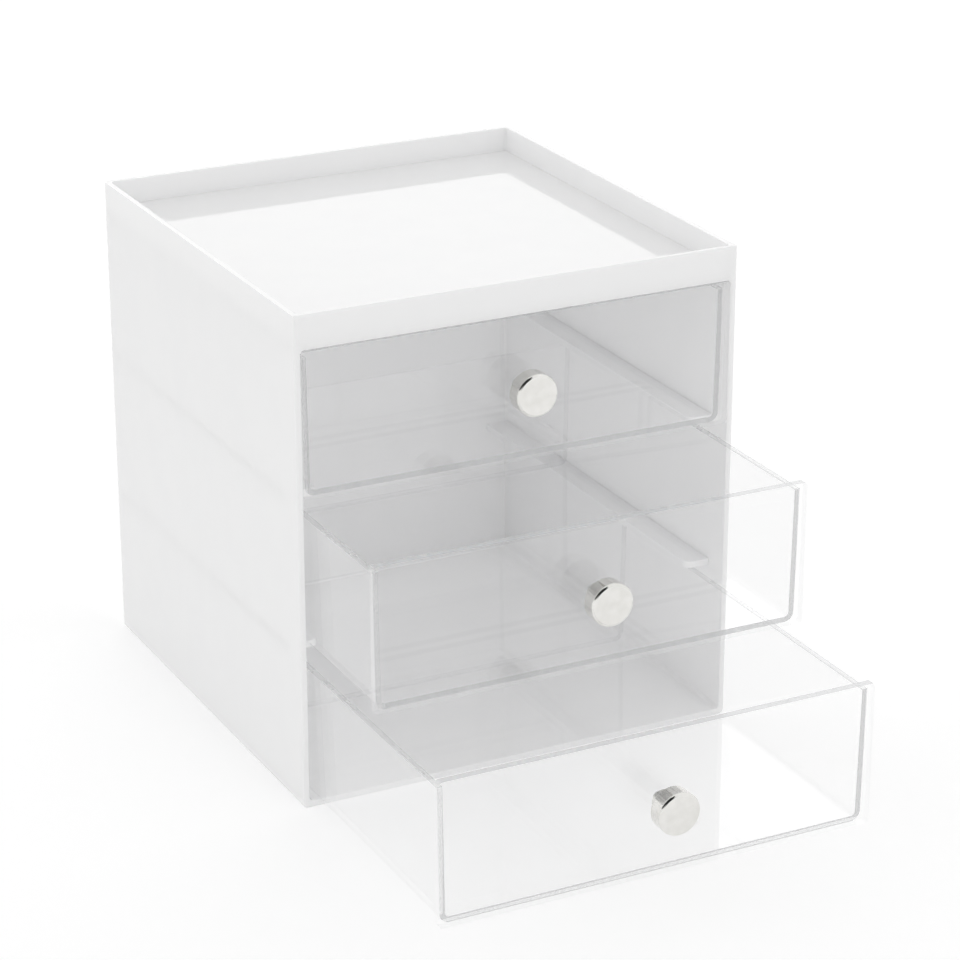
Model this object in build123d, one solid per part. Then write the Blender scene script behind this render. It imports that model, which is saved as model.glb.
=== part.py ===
from build123d import *
import os

# A desk organiser: a white housing, open at the front and with a tray on its top, holds three
# clear drawers. Each drawer is a U-shaped trough closed by a front panel and a back plate, and
# has one chrome knob, whose stud is cemented into a hole in the panel.
# Millimetres. The origin is the centre of the housing's underside: X to the right, Y to the back,
# Z up. Each drawer is modelled where it stands at rest, pulled out by its own distance.

# Housing: overall sizes and walls
housing_width = 165.0
housing_depth = 170.0
housing_height = 176.0
housing_wall = 2.2
housing_floor = 2.4
tray_depth = 9.0
tray_plate = 3.0

# Housing: rounded corners and edges
back_corner_radius = 2.0
base_corner_radius = 1.6
front_edge_radius = 0.8
opening_corner_radius = 1.6
tray_corner_radius = 1.2
rim_edge_radius = 0.4
opening_edge_radius = 0.3

# How far each drawer is pulled out at rest, from the lowest to the highest
pulled_out = {"bottom": 98.5, "middle": 53.0, "top": 0.0}

# Drawer fronts, and the gaps round them
front_thickness = 3.2
front_edge_round = 0.35
front_side_clearance = 0.3
front_floor_clearance = 0.3
front_top_clearance = 0.5
front_gap = 3.4

# Drawer troughs and backs
trough_wall = 2.0
trough_corner_radius = 3.5
trough_edge_round = 0.3
flange_at_bottom = 1.7
flange_at_top = 0.9
wall_below_front_top = 3.0
back_thickness = 2.0
back_clearance = 0.5

# Ledge runners under the middle and the top drawer
runner_width = 9.0
runner_thickness = 2.4
runner_clearance = 0.3
runner_setback = 10.0
runner_back_gap = 2.0
runner_nose_radius = 3.0

# Knobs, each with a neck and a stud
knob_diameter = 15.2
knob_length = 6.3
knob_face_radius = 1.0
knob_rear_radius = 0.5
knob_above_middle = 1.2
neck_diameter = 8.0
neck_length = 5.2
stud_diameter = 4.0
stud_short_of_back = 0.4
stud_clearance = 0.1

# Places that follow from the sizes above
front_y = -housing_depth / 2
back_y = housing_depth / 2
cavity_half_width = housing_width / 2 - housing_wall
cavity_bottom = housing_floor
cavity_top = housing_height - tray_depth - tray_plate
cavity_back_y = back_y - housing_wall
tray_floor = housing_height - tray_depth

drawer_count = len(pulled_out)
spare_height = front_floor_clearance + front_top_clearance + (drawer_count - 1) * front_gap
front_height = (cavity_top - cavity_bottom - spare_height) / drawer_count
front_half_width = cavity_half_width - front_side_clearance
front_corner_radius = opening_corner_radius - front_side_clearance
drawer_pitch = front_height + front_gap

trough_height = front_height - wall_below_front_top
trough_front_y = front_y + front_thickness
trough_back_y = cavity_back_y - back_clearance - back_thickness
wall_lean = (flange_at_bottom - flange_at_top) / trough_height

CENTRE_ON_GROUND = (Align.CENTER, Align.CENTER, Align.MIN)


def block(x_range, y_range, z_range):
    """A box between two values along each axis."""
    size = [high - low for low, high in (x_range, y_range, z_range)]
    return Pos(x_range[0], y_range[0], z_range[0]) * Box(*size, align=(Align.MIN,) * 3)


def edges_along(solid, axis, places):
    """The solid's edges along an axis whose centres pass the test given as places."""
    return [edge for edge in solid.edges().filter_by(axis) if places(edge.center())]


def drawer_floor(level):
    """Height of the underside of the drawer at a level, counted from 0 at the bottom."""
    return cavity_bottom + front_floor_clearance + level * drawer_pitch


def make_housing():
    """White shell: floor, two sides, back and tray plate with its raised rim, open at the front."""
    half_width = housing_width / 2
    shell = block((-half_width, half_width), (front_y, back_y), (0, housing_height))
    shell = fillet(edges_along(shell, Axis.Y, lambda at: at.Z < 1), base_corner_radius)
    shell = fillet(edges_along(shell, Axis.Z, lambda at: at.Y > 0), back_corner_radius)
    shell = fillet(shell.faces().sort_by(Axis.Y)[0].outer_wire().edges(), front_edge_radius)

    cavity_x = (-cavity_half_width, cavity_half_width)
    cavity = block(cavity_x, (front_y - 1, cavity_back_y), (cavity_bottom, cavity_top))
    cavity = fillet(cavity.edges().filter_by(Axis.Y), opening_corner_radius)
    shell -= cavity

    tray_y = (front_y + housing_wall, cavity_back_y)
    tray = block(cavity_x, tray_y, (tray_floor, housing_height + 1))
    tray = fillet(tray.edges().filter_by(Axis.Z), tray_corner_radius)
    shell -= tray

    opening = shell.faces().sort_by(Axis.Y)[0].inner_wires()[0]
    shell = fillet(opening.edges(), opening_edge_radius)
    tray_mouth = shell.faces().sort_by(Axis.Z)[-1].inner_wires()[0]
    return fillet(tray_mouth.edges(), rim_edge_radius)


def make_runner(level, side):
    """Ledge strip on a side wall, just under the drawer at a level. side is -1 left, 1 right."""
    top = drawer_floor(level) - runner_clearance
    y_range = (front_y + runner_setback, cavity_back_y - runner_back_gap)
    x_range = sorted((side * cavity_half_width, side * (cavity_half_width - runner_width)))
    runner = block(x_range, y_range, (top - runner_thickness, top))
    free_corner = edges_along(runner, Axis.Z, lambda at: at.Y < 0 and abs(at.X) < front_half_width - 1)
    return fillet(free_corner, runner_nose_radius)


def trough_half_width(height):
    """Outer half width of the trough at a height above its underside: its walls lean outwards."""
    return front_half_width - flange_at_bottom + wall_lean * height


def trough_outline(inset, top):
    """Outline of the trough, drawn inwards by inset, from its floor up to top."""
    low = trough_half_width(inset) - inset
    high = trough_half_width(top) - inset
    outline = make_face(Polyline((-high, top), (-low, inset), (low, inset), (high, top), close=True))
    return fillet(outline.vertices().group_by(Axis.Y)[0], trough_corner_radius - inset)


def make_trough():
    """U-shaped band that is the drawer's floor and side walls, at the closed place and level 0."""
    section = trough_outline(0, trough_height) - trough_outline(trough_wall, trough_height + 1)
    band = extrude(Plane.XZ * section, trough_back_y - trough_front_y)
    band = Pos(0, trough_back_y, 0) * band
    wall_tops = edges_along(band, Axis.Y, lambda at: at.Z > trough_height - 0.1)
    return fillet(wall_tops, trough_edge_round)


def make_back():
    """Plate that closes the trough at the rear, with the trough's own outline."""
    plate = extrude(Plane.XZ * trough_outline(0, trough_height), back_thickness)
    plate = Pos(0, trough_back_y + back_thickness, 0) * plate
    outer_edges = plate.faces().sort_by(Axis.Y)[-1].edges()
    return fillet(outer_edges, trough_edge_round)


def on_knob_axis(piece):
    """Turns a piece built upwards from the panel's front face, so that up points forwards."""
    return Pos(0, front_y, knob_height) * Rot(90, 0, 0) * piece


def make_front():
    """Front panel, with the hole for the knob's stud."""
    x_range = (-front_half_width, front_half_width)
    panel = block(x_range, (front_y, trough_front_y), (0, front_height))
    panel = fillet(panel.edges().filter_by(Axis.Y), front_corner_radius)
    for face in (panel.faces().sort_by(Axis.Y)[0], panel.faces().sort_by(Axis.Y)[-1]):
        panel = fillet(face.edges(), front_edge_round)
    return panel - on_knob_axis(Cylinder(stud_diameter / 2 + stud_clearance, 3 * front_thickness))


def make_knob():
    """Turned knob: a round body, a neck against the panel, and a stud in the panel's hole."""
    body = Cylinder(knob_diameter / 2, knob_length, align=CENTRE_ON_GROUND)
    body = fillet(body.faces().sort_by(Axis.Z)[-1].edges(), knob_face_radius)
    body = fillet(body.faces().sort_by(Axis.Z)[0].edges(), knob_rear_radius)
    neck = Cylinder(neck_diameter / 2, neck_length, align=CENTRE_ON_GROUND)
    stud_length = front_thickness - stud_short_of_back
    stud = Cylinder(stud_diameter / 2, stud_length, align=CENTRE_ON_GROUND)
    return on_knob_axis(Pos(0, 0, neck_length) * body + neck + Pos(0, 0, -stud_length) * stud)


def write(name, piece):
    piece.label = name
    export_step(piece, f"parts/{name}.step")


knob_height = front_height / 2 + knob_above_middle

os.makedirs("parts", exist_ok=True)
write("housing", make_housing())

drawer_pieces = {
    "trough": make_trough(),
    "front": make_front(),
    "back": make_back(),
    "knob": make_knob(),
}
for level, (drawer, distance) in enumerate(pulled_out.items()):
    for piece_name, piece in drawer_pieces.items():
        write(f"{piece_name}_{drawer}", Pos(0, -distance, drawer_floor(level)) * piece)
    if level > 0:
        write(f"runner_{drawer}_left", make_runner(level, -1))
        write(f"runner_{drawer}_right", make_runner(level, 1))
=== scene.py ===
# %% [markdown]
# # A three-drawer organiser, white housing and clear drawers
# The organiser stands on a white ground. Its housing is glossy white plastic, moulded in one piece.
# Its drawers are clear acrylic, and each has a chrome knob. The solids come from the CAD frame, at
# their real size, so this lesson is about surfaces: a white that shows its shape, a clear sheet
# whose edges can be seen, and chrome that has something to mirror.

# %% Load the frame
import math
import bpy
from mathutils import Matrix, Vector


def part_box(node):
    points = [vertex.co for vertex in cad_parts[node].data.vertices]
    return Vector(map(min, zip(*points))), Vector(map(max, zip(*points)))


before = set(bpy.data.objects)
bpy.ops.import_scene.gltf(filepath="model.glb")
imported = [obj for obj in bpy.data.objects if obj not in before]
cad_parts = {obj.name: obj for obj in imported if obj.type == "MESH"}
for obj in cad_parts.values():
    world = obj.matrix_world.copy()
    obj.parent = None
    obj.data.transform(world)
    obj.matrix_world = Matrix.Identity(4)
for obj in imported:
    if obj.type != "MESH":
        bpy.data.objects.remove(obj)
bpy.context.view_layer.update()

MM = 0.001
bpy.ops.object.select_all(action="DESELECT")
print("CAD nodes:", len(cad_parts))

# %% [markdown]
# ## The camera
# The organiser is seen from the front left and from above, through a long lens, so that its
# parallel edges nearly stay parallel. A camera is described most plainly by the point it looks at,
# from which azimuth and elevation, from how far, and with which lens.

# %% Place the camera
CAMERA_TARGET = Vector((0, -53.9, 94.1)) * MM
CAMERA_AZIMUTH = -26.87
CAMERA_ELEVATION = 21.75
CAMERA_DISTANCE = 1131 * MM
CAMERA_LENS_MM = 122.4


def direction(azimuth, elevation):
    """Unit vector towards a place at an azimuth and elevation in degrees. Azimuth 0 is in front."""
    turn, rise = math.radians(azimuth), math.radians(elevation)
    level = math.cos(rise)
    return Vector((math.sin(turn) * level, -math.cos(turn) * level, math.sin(rise)))


def aim(thing, target, azimuth, elevation, distance):
    """Puts a camera or lamp at a distance from the target, looking at it."""
    back = direction(azimuth, elevation)
    thing.location = target + back * distance
    thing.rotation_euler = (-back).to_track_quat("-Z", "Y").to_euler()
    bpy.context.collection.objects.link(thing)


camera_data = bpy.data.cameras.new("camera")
camera_data.lens = CAMERA_LENS_MM
camera_data.sensor_width = 36
camera_data.clip_start = 0.01
camera_data.clip_end = 50
camera = bpy.data.objects.new("camera", camera_data)
aim(camera, CAMERA_TARGET, CAMERA_AZIMUTH, CAMERA_ELEVATION, CAMERA_DISTANCE)
bpy.context.scene.camera = camera
bpy.context.scene.view_settings.view_transform = "Standard"
print("camera at", [round(c, 3) for c in camera.location])

# %% [markdown]
# ## Long light paths
# Light reaches the inside of the housing through many clear faces and off many white walls. A path
# that is cut short turns dark, so the limits are raised. Clear faces cost little, so they get the
# highest limit.

# %% Let light go further
paths = bpy.context.scene.cycles
paths.max_bounces = 16
paths.diffuse_bounces = 10
paths.glossy_bounces = 8
paths.transparent_max_bounces = 64
print("light paths: up to", paths.max_bounces, "bounces")

# %% [markdown]
# ## Helpers for materials
# Colours are written as sRGB hex values, as a colour picker shows them. One function turns them to
# the linear numbers that shaders work in, and another adds a node with its settings and links.

# %% Colour and node helpers


def srgb(hex_colour):
    """Linear RGBA of an sRGB hex colour."""
    channels = [int(hex_colour[at:at + 2], 16) / 255 for at in (1, 3, 5)]
    linear = [c / 12.92 if c <= 0.04045 else ((c + 0.055) / 1.055) ** 2.4 for c in channels]
    return (*linear, 1.0)


def add(tree, kind, settings=None, **inputs):
    """Adds a node and returns it. settings are its properties. inputs are its sockets by name, with
    _ for a space, or i0, i1 and so on by number: each gets a value, or another socket to link."""
    node = tree.nodes.new("ShaderNode" + kind)
    for name, value in (settings or {}).items():
        setattr(node, name, value)
    for name, value in inputs.items():
        socket = node.inputs[int(name[1:]) if name[1:].isdigit() else name.replace("_", " ")]
        if isinstance(value, bpy.types.NodeSocket):
            tree.links.new(value, socket)
        else:
            socket.default_value = value
    return node


def start_material(name):
    """An empty node material, and its node tree."""
    material = bpy.data.materials.new(name)
    material.use_nodes = True
    material.node_tree.nodes.clear()
    return material, material.node_tree


def finish_material(material, shader):
    """Links the last shader to the output."""
    add(material.node_tree, "OutputMaterial", Surface=shader.outputs[0])
    print("material", material.name)
    return material


def calc(tree, operation, *values):
    """One step of arithmetic on sockets or numbers."""
    numbered = {f"i{at}": value for at, value in enumerate(values)}
    return add(tree, "Math", {"operation": operation}, **numbered).outputs[0]


def noise(tree, size_mm, detail, stretch=(1, 1, 1)):
    """Noise whose blotches are about size_mm across, pulled longer along an axis by stretch."""
    place = add(tree, "TexCoord").outputs["Object"]
    scale = [1 / (size_mm * MM * pull) for pull in stretch]
    scaled = add(tree, "Mapping", Vector=place, Scale=scale)
    blotches = add(tree, "TexNoise", Vector=scaled.outputs[0], Scale=1.0, Detail=detail)
    return blotches.outputs["Fac"]


def spread(tree, value, low, high, start=0.3, end=0.7):
    """Maps a value from start..end to low..high, and holds it there."""
    limits = {"From_Min": start, "From_Max": end, "To_Min": low, "To_Max": high}
    return add(tree, "MapRange", Value=value, **limits).outputs[0]


def tint(tree, share, first, second):
    """A mix of two hex colours. share is how much of it is the second, from 0 to 1."""
    return add(tree, "MixRGB", Fac=share, Color1=srgb(first), Color2=srgb(second)).outputs[0]


def mix(tree, share, first, second):
    """A mix of two shaders. share is how much of it is the second, from 0 to 1."""
    return add(tree, "MixShader", i0=share, i1=first.outputs[0], i2=second.outputs[0])


def ray_is(tree, *kinds):
    """1 for rays of any of these kinds, else 0."""
    rays = add(tree, "LightPath").outputs
    found, *others = [rays[f"Is {kind} Ray"] for kind in kinds]
    for other in others:
        found = calc(tree, "MAXIMUM", found, other)
    return found


# %% [markdown]
# ## Glossy white plastic
# The housing is taken to be ABS, moulded in a polished tool. Its gloss is nearly a mirror: the
# raised rim stands on its own mirror image in the tray, as on still water. The plastic is also a
# little translucent, so light that enters comes out again about two millimetres on and softens its
# corners, which subsurface scattering does with no paint at all. The polish is never perfect: the
# surface sinks and swells by about ten micrometres over a centimetre, and handling leaves it finely
# rubbed. The runners are strips of the same plastic. They get no scattering, because where one
# solid touches another the scattering finds no light, and draws a dark line that isn't there.

# %% The housing's plastic
ABS_REFRACTION = 1.53
WHITE_SCATTER = 2.0 * MM
POLISHED, LESS_POLISHED = 0.04, 0.07
RUBBED_MORE = 0.03
SWELL_HEIGHT, SWELL_STRENGTH = 0.03 * MM, 0.35


def white_plastic(name, scattered):
    """Glossy white ABS. scattered is how much of its light travels inside it, from 0 to 1."""
    material, tree = start_material(name)
    cloud = noise(tree, 28, 2)
    rubbed = spread(tree, noise(tree, 3, 2, stretch=(1, 6, 1)), 0.0, RUBBED_MORE, 0.5, 0.7)
    swell = add(tree, "Bump", Height=noise(tree, 11, 0), Strength=SWELL_STRENGTH,
                Distance=SWELL_HEIGHT)
    shader = add(tree, "BsdfPrincipled",
                 Base_Color=tint(tree, spread(tree, cloud, 0, 1), "#FEFEFE", "#FBFBFC"),
                 Roughness=calc(tree, "ADD", spread(tree, cloud, POLISHED, LESS_POLISHED), rubbed),
                 IOR=ABS_REFRACTION, Subsurface_Weight=scattered, Subsurface_Radius=(1, 1, 1),
                 Subsurface_Scale=WHITE_SCATTER, Normal=swell.outputs[0])
    return finish_material(material, shader)


WHITE = white_plastic("abs_white_gloss_moulded", 1.0)
WHITE_STRIP = white_plastic("abs_white_gloss_strip", 0.0)

# %% [markdown]
# ## Clear acrylic
# The drawers are clear acrylic sheet, sawn, polished and cemented. Real glass shaders bend light at
# every face, and in touching, cemented parts much of it gets lost and turns black. A sheet of even
# thickness hardly shifts what is behind it, so each face is instead a window that lets light
# straight through, with a mirror over it that grows towards grazing angles. Light on its way to
# other surfaces sees no mirror and no edge, only a clear window, so that it reaches the inside of
# the housing without noise.

# %% A clear sheet with edges
ACRYLIC_REFRACTION = 1.49
HEAD_ON_MIRROR = 0.04
WIPED_ROUGHNESS = 0.04
FROST_LOW, FROST_HIGH = 0.22, 0.3


def clear_sheet(tree):
    """A window with a mirror over it, as one face of a polished sheet."""
    graze = calc(tree, "POWER", add(tree, "LayerWeight", Blend=0.5).outputs["Facing"], 5.0)
    mirror = calc(tree, "MULTIPLY_ADD", graze, 1 - HEAD_ON_MIRROR, HEAD_ON_MIRROR)
    wiped = spread(tree, noise(tree, 0.6, 2, stretch=(40, 40, 1)), 0.0, WIPED_ROUGHNESS, 0.58, 0.75)
    shine = add(tree, "BsdfGlossy", Color=srgb("#FFFFFF"), Roughness=wiped)
    return mix(tree, mirror, add(tree, "BsdfTransparent", Color=srgb("#FFFFFF")), shine)


def acrylic(name, edges):
    """Clear sheet. edges(tree) gives how much a cut edge hides, 0 elsewhere, and its colour:
    painted shade and glow over the edge's real frost.
    """
    material, tree = start_material(name)
    cover, colour = edges(tree)
    frost = spread(tree, noise(tree, 8, 2), FROST_LOW, FROST_HIGH)
    # Its roughness is the edge's real frost. Its colour is painted shade and glow, in place of what
    # refraction would show at a thick edge.
    edge = add(tree, "BsdfPrincipled", Base_Color=colour, IOR=ACRYLIC_REFRACTION, Roughness=frost)
    shown = mix(tree, cover, clear_sheet(tree), edge)
    clear = add(tree, "BsdfTransparent", Color=srgb("#FFFFFF"))
    return finish_material(material, mix(tree, ray_is(tree, "Diffuse", "Shadow"), shown, clear))


# %% [markdown]
# The cut edges are what the eye finds. Their frost is real, but their grey and white are painted:
# painted shade and painted glow stand in for what refraction and light running inside the sheet
# would show at an edge. How much each kind of edge hides differs, so the shader has to know which
# edge it is on. It can tell by where the face looks and by the place in the piece's own drawer.
# Heights are counted from just below each drawer, and repeat from one drawer to the next.

# %% Where a drawer's edges are
LOWEST = 1 * MM
DRAWER_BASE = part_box("front_bottom")[0].z - LOWEST
DRAWER_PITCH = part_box("front_middle")[0].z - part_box("front_bottom")[0].z
PANEL_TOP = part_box("front_bottom")[1].z - DRAWER_BASE
WALL_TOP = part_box("trough_bottom")[1].z - DRAWER_BASE
TROUGH_MIDDLES = [sum(corner.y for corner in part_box("trough_" + drawer)) / 2
                  for drawer in ("bottom", "top")]
LOOKS_ALONG = 0.7
print("drawers stand", round(DRAWER_PITCH / MM, 2), "mm apart")
print("drawer walls are", round((WALL_TOP - LOWEST) / MM, 2), "mm high")


def looks_along(tree, axis):
    """1 on faces that look along an axis, either way, to about 45 degrees, else 0."""
    normal = add(tree, "NewGeometry").outputs["Normal"]
    along = calc(tree, "ABSOLUTE", add(tree, "SeparateXYZ", Vector=normal).outputs[axis])
    return calc(tree, "GREATER_THAN", along, LOOKS_ALONG)


def place_of(tree):
    """The point's place in the frame, as sockets X, Y and Z."""
    return add(tree, "SeparateXYZ", Vector=add(tree, "TexCoord").outputs["Object"]).outputs


def above_base(tree, place):
    """The height of a place above the base of the lowest drawer."""
    return calc(tree, "SUBTRACT", place["Z"], DRAWER_BASE)


def at_height(tree, height):
    """1 where a piece is higher than that above the base of its own drawer, else 0."""
    own = calc(tree, "MODULO", above_base(tree, place_of(tree)), DRAWER_PITCH)
    return calc(tree, "GREATER_THAN", own, height)


def in_rear_half(tree):
    """1 in the rear half of a drawer. The higher a drawer is, the further back it stands."""
    place = place_of(tree)
    level = calc(tree, "FLOOR", calc(tree, "DIVIDE", above_base(tree, place), DRAWER_PITCH))
    step = (TROUGH_MIDDLES[1] - TROUGH_MIDDLES[0]) / 2
    middle = calc(tree, "MULTIPLY_ADD", level, step, TROUGH_MIDDLES[0])
    return calc(tree, "GREATER_THAN", place["Y"], middle)


# %% How much painted shade and glow each edge gets
PANEL_EDGE_DEPTH = 0.3 * MM
WALL_EDGE_DEPTH = 0.4 * MM
# Painted shade in grey on the fronts' upper edges, painted glow in white on the other panel edges,
# painted shade on the troughs' wall tops and ends.
FRONT_TOP_PAINTED_SHADE, OTHER_EDGES_PAINTED_GLOW = 0.6, 0.12
WALL_TOPS_PAINTED_SHADE = 0.35
FRONT_ENDS_PAINTED_SHADE, REAR_ENDS_PAINTED_SHADE = 0.65, 0.15


def panel_edges_painted_shade_and_glow(tree):
    """Fronts and backs: a front's upper edge gets painted shade in grey, and the others a painted
    glow in white, so they hardly show.
    """
    top = at_height(tree, PANEL_TOP - PANEL_EDGE_DEPTH)
    any_edge = calc(tree, "SUBTRACT", 1.0, looks_along(tree, "Y"))
    hides = spread(tree, top, OTHER_EDGES_PAINTED_GLOW, FRONT_TOP_PAINTED_SHADE, 0, 1)
    # Painted shade: grey on a front's upper edge. Painted glow: white on the other edges.
    return calc(tree, "MULTIPLY", any_edge, hides), tint(tree, top, "#FFFFFF", "#DCDDDE")


def trough_edges_painted_shade(tree):
    """Troughs: painted shade in grey on the front ends, seen through the panels, on the wall tops
    and, faintly, on the rear ends.
    """
    wall_tops = at_height(tree, WALL_TOP - WALL_EDGE_DEPTH)
    hides = spread(tree, in_rear_half(tree), FRONT_ENDS_PAINTED_SHADE, REAR_ENDS_PAINTED_SHADE, 0, 1)
    ends = calc(tree, "MULTIPLY", looks_along(tree, "Y"), hides)
    cover = calc(tree, "MAXIMUM", calc(tree, "MULTIPLY", wall_tops, WALL_TOPS_PAINTED_SHADE), ends)
    # Painted shade: darker grey on the sawn ends, lighter grey on the wall tops.
    return cover, tint(tree, wall_tops, "#C4C5C6", "#D2D3D4")


# The fronts and backs carry painted shade and glow on their edges, the troughs painted shade on
# their ends and wall tops.
PANEL = acrylic("acrylic_clear_edges_painted_shade_and_glow", panel_edges_painted_shade_and_glow)
TROUGH = acrylic("acrylic_clear_sawn_ends_painted_shade", trough_edges_painted_shade)

# %% [markdown]
# ## Chrome
# The knobs are turned, polished and chrome-plated, in a tint that is a little warm. A mirror has no
# colour detail of its own. What shows it is real is the faint uneven haze that fingers leave, so
# only the roughness and the tint vary.

# %% The knobs' chrome
CLEAN_CHROME, TOUCHED_CHROME = 0.03, 0.08


def chrome():
    """Chrome with a faint haze."""
    material, tree = start_material("chrome_plated_turned")
    haze = noise(tree, 4, 3)
    shader = add(tree, "BsdfPrincipled", Metallic=1.0,
                 Base_Color=tint(tree, spread(tree, haze, 0, 1), "#EAE9E6", "#E1E0DC"),
                 Roughness=spread(tree, haze, CLEAN_CHROME, TOUCHED_CHROME))
    return finish_material(material, shader)


CHROME = chrome()

# %% [markdown]
# ## Finishes for the CAD nodes
# The CAD solids already have the right shapes, so they stay, and only get their finish. A finish is
# assigned to the node's material slots, which leaves its mesh as it is. A piece's name starts with
# what it is, so one small table is enough.

# %% Give each CAD node its finish
FINISHES = {"housing": WHITE, "runner": WHITE_STRIP, "front": PANEL, "back": PANEL,
            "trough": TROUGH, "knob": CHROME}
for name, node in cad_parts.items():
    finish = FINISHES[name.split("_")[0]]
    for slot in node.material_slots:
        slot.material = finish
    print(name, "is", finish.name)

# %% [markdown]
# ## The ground, the surroundings and the lamp
# The organiser stands in a white light tent. The ground is a sheet that is nearly white. A glow
# that only the camera, mirrors and glass see makes it look white, and it still takes the shadow.

# %% The ground
GROUND_SIZE = 8
GROUND_GLOW = 0.25
bpy.ops.mesh.primitive_plane_add(size=GROUND_SIZE)
ground = bpy.context.object
ground.name = "ground"

material, tree = start_material("ground_white_sheet")
sheet = add(tree, "BsdfDiffuse", Color=srgb("#F6F6F6"))
seen = ray_is(tree, "Camera", "Glossy", "Transmission")
glow = add(tree, "Emission", Strength=calc(tree, "MULTIPLY", seen, GROUND_GLOW))
both = add(tree, "AddShader", i0=sheet.outputs[0], i1=glow.outputs[0])
ground.data.materials.append(finish_material(material, both))

# %% [markdown]
# In a white tent, chrome would look like white paint. What makes it chrome is what isn't white: the
# opening in front, with the dark room behind it. The world has that opening, a dark patch at a
# fixed place in front and to the left, and only mirrors see it. The camera sees plain white. The
# light that falls on the surfaces is a little weaker from the top of the tent than from its sides,
# and a touch weaker from the front.

# %% The tent
TENT_SIDES, TENT_TOP = 1.0, 0.69
SIDES_END_AT = 0.2
FRONT_SHADE = 0.05
OPENING_LEVEL = 0.03
SOFT_BORDER = 3.0
UPPER_OPENING = (-98, 6), (17, 74)
LOWER_OPENING = (-16, 14), (-6, 17)
SHADED_FRONT = (-40, 40), (0, 50)

world = bpy.data.worlds.new("tent")
bpy.context.scene.world = world
world.use_nodes = True
tree = world.node_tree
tree.nodes.clear()
ray = add(tree, "SeparateXYZ", Vector=add(tree, "TexCoord").outputs["Generated"]).outputs
azimuth = calc(tree, "ARCTAN2", ray["X"], calc(tree, "MULTIPLY", ray["Y"], -1.0))
elevation = calc(tree, "ARCSINE", ray["Z"])


def between(angle, low, high):
    """1 between two angles in degrees, falling softly to 0 outside them."""
    border = math.radians(SOFT_BORDER)
    low, high = math.radians(low), math.radians(high)
    above = spread(tree, angle, 0, 1, low - border, low)
    below = spread(tree, angle, 1, 0, high, high + border)
    return calc(tree, "MULTIPLY", above, below)


def patch(azimuths, elevations):
    """1 in the part of the tent between two azimuths and two elevations, else 0."""
    return calc(tree, "MULTIPLY", between(azimuth, *azimuths), between(elevation, *elevations))


opening = calc(tree, "MAXIMUM", patch(*UPPER_OPENING), patch(*LOWER_OPENING))
mirrored = calc(tree, "MULTIPLY", opening, ray_is(tree, "Glossy"))
shown = calc(tree, "SUBTRACT", 1.0, calc(tree, "MULTIPLY", mirrored, 1 - OPENING_LEVEL))

higher = spread(tree, ray["Z"], TENT_SIDES, TENT_TOP, SIDES_END_AT, 1.0)
forward = calc(tree, "MULTIPLY_ADD", patch(*SHADED_FRONT), -FRONT_SHADE, 1.0)
cloth = calc(tree, "MULTIPLY", higher, forward)

lights = ray_is(tree, "Diffuse", "Shadow")
strength = calc(tree, "ADD", calc(tree, "MULTIPLY", lights, cloth),
                calc(tree, "MULTIPLY", calc(tree, "SUBTRACT", 1.0, lights), shown))
sky = add(tree, "Background", Color=srgb("#FFFFFF"), Strength=strength)
add(tree, "OutputWorld", Surface=sky.outputs[0])

# %% [markdown]
# ## One soft lamp
# The tent lights nearly everything. One large softbox stands behind the organiser, low enough for
# the tray to mirror it towards the camera. That brightens the tray, and the mirror image of the rim
# stands out from it as a darker band.

# %% The lamp
SOFTBOX_WIDTH = 0.8
SOFTBOX_WATTS = 1.1
SOFTBOX_TARGET = Vector((0, 0, 170)) * MM
SOFTBOX_AZIMUTH = CAMERA_AZIMUTH + 180
SOFTBOX_ELEVATION = 22
SOFTBOX_DISTANCE = 1.6
softbox_data = bpy.data.lights.new("rear_softbox", "AREA")
softbox_data.shape = "SQUARE"
softbox_data.size = SOFTBOX_WIDTH
softbox_data.energy = SOFTBOX_WATTS
softbox = bpy.data.objects.new("rear_softbox", softbox_data)
aim(softbox, SOFTBOX_TARGET, SOFTBOX_AZIMUTH, SOFTBOX_ELEVATION, SOFTBOX_DISTANCE)
